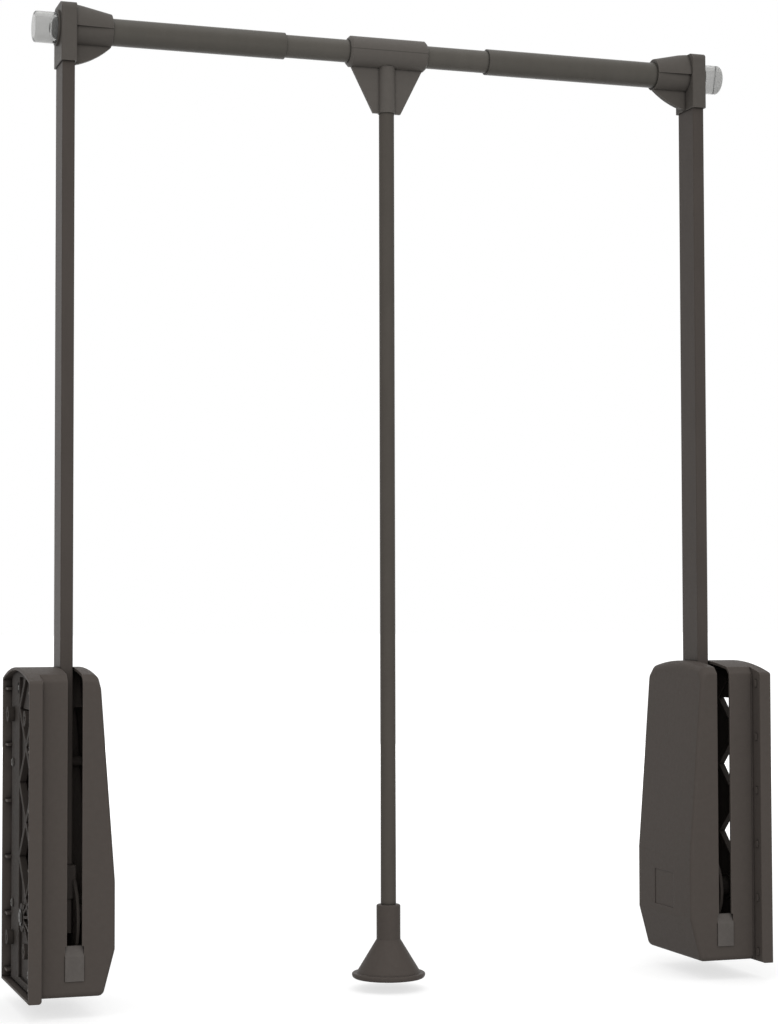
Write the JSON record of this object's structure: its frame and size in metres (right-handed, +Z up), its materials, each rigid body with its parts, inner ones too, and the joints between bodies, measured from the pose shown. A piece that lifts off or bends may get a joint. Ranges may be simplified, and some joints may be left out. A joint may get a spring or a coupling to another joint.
{
  "type": "pull down closet rod",
  "caption": "Side-panel housings carry swinging arms and a telescopic hanging bar, which a central pull handle brings down within reach.",
  "frame": {"origin": "midway between the housings and at their mid depth, level with the underside of the pull handle's grip", "axes": "+X to the right side panel, -Y out of the wardrobe into the room, +Z up"},
  "size_m": [0.685, 0.145, 0.8595],
  "materials": {
    "shell_plastic": "fine spark-eroded grain, dark brown-grey",
    "frame_plastic": "glass-filled nylon, dull",
    "joint_plastic": "fine grain, dark brown-grey",
    "grip_plastic": "fine grain, satin",
    "yoke_plastic": "acetal, satin",
    "bush_plastic": "acetal, satin",
    "slot_rubber": "matt",
    "stop_rubber": "matt",
    "clear_bumper": "soft clear plastic, milky",
    "arm_coating": "powder coat, satin with fine texture",
    "bar_coating": "powder coat, satin",
    "bracket_steel": "zinc plated",
    "steel_pin": "zinc plated",
    "zinc_screw": "zinc plated",
    "strut_black": "black paint, satin",
    "strut_rod": "polished"
  },
  "bodies": {
    "left_mount": {"left_housing_shell": "shell_plastic", "left_base_frame": "frame_plastic", "left_housing_screws": "zinc_screw", "left_slot_pad": "slot_rubber", "left_upright_stop": "stop_rubber", "left_pivot_pin": "steel_pin", "left_pivot_clip": "steel_pin", "left_gas_cylinder": "strut_black", "left_strut_top_pin": "steel_pin"},
    "arm_frame": {"left_pivot_bush": "bush_plastic", "left_arm_bracket": "bracket_steel", "left_arm_tube": "arm_coating", "left_arm_rivets": "steel_pin", "left_crank_pin": "steel_pin", "left_elbow": "joint_plastic", "left_elbow_screws": "zinc_screw", "left_side_bumper": "clear_bumper", "left_outer_tube": "bar_coating", "left_tube_guide": "bush_plastic"},
    "left_carriage": {"left_gas_rod": "strut_rod", "left_rod_yoke": "yoke_plastic"},
    "right_mount": {"right_housing_shell": "shell_plastic", "right_base_frame": "frame_plastic", "right_housing_screws": "zinc_screw", "right_slot_pad": "slot_rubber", "right_upright_stop": "stop_rubber", "right_pivot_pin": "steel_pin", "right_pivot_clip": "steel_pin", "right_gas_cylinder": "strut_black", "right_strut_top_pin": "steel_pin"},
    "right_arm": {"right_pivot_bush": "bush_plastic", "right_arm_bracket": "bracket_steel", "right_arm_tube": "arm_coating", "right_arm_rivets": "steel_pin", "right_crank_pin": "steel_pin", "right_elbow": "joint_plastic", "right_elbow_screws": "zinc_screw", "right_side_bumper": "clear_bumper", "right_outer_tube": "bar_coating", "right_tube_guide": "bush_plastic"},
    "right_carriage": {"right_gas_rod": "strut_rod", "right_rod_yoke": "yoke_plastic"},
    "inner_bar": {"inner_tube": "bar_coating"},
    "pull_handle": {"tee_connector": "joint_plastic", "tee_screw": "zinc_screw", "handle_rod": "bar_coating", "handle_grip": "grip_plastic", "grip_screw": "zinc_screw"}
  },
  "joints": [
    {"name": "arm_swing", "type": "hinge", "parent": "left_mount", "child": "arm_frame", "pos_m": [-0.3015, 0, 0.0685], "axis": [1, 0, 0], "range_deg": [0, 92], "stiffness_Nm_per_rad": 12, "springref_deg": -28.65},
    {"name": "width_adjust", "type": "slide", "parent": "arm_frame", "child": "right_arm", "axis": [1, 0, 0], "range_m": [-0.083, 0.147]},
    {"name": "right_panel_shift", "type": "slide", "parent": "left_mount", "child": "right_mount", "axis": [1, 0, 0], "range_m": [-0.083, 0.147]},
    {"name": "inner_bar_shift", "type": "slide", "parent": "arm_frame", "child": "inner_bar", "axis": [1, 0, 0], "range_m": [-0.0415, 0.0735]},
    {"name": "handle_swing", "type": "hinge", "parent": "inner_bar", "child": "pull_handle", "pos_m": [-0.006, 0, 0.839], "axis": [1, 0, 0], "range_deg": [-120, 60]},
    {"name": "left_strut_stroke", "type": "slide", "parent": "left_mount", "child": "left_carriage", "axis": [0, 0, 1], "range_m": [0, 0.0346]},
    {"name": "right_strut_stroke", "type": "slide", "parent": "right_mount", "child": "right_carriage", "axis": [0, 0, 1], "range_m": [0, 0.0346]}
  ],
  "couplings": [
    {"joint": "right_panel_shift", "follows": "width_adjust", "ratio": 1},
    {"joint": "inner_bar_shift", "follows": "width_adjust", "ratio": 0.5},
    {"joint": "left_strut_stroke", "follows": "arm_swing", "m_per_rad": 0.0215},
    {"joint": "right_strut_stroke", "follows": "arm_swing", "m_per_rad": 0.0215}
  ]
}
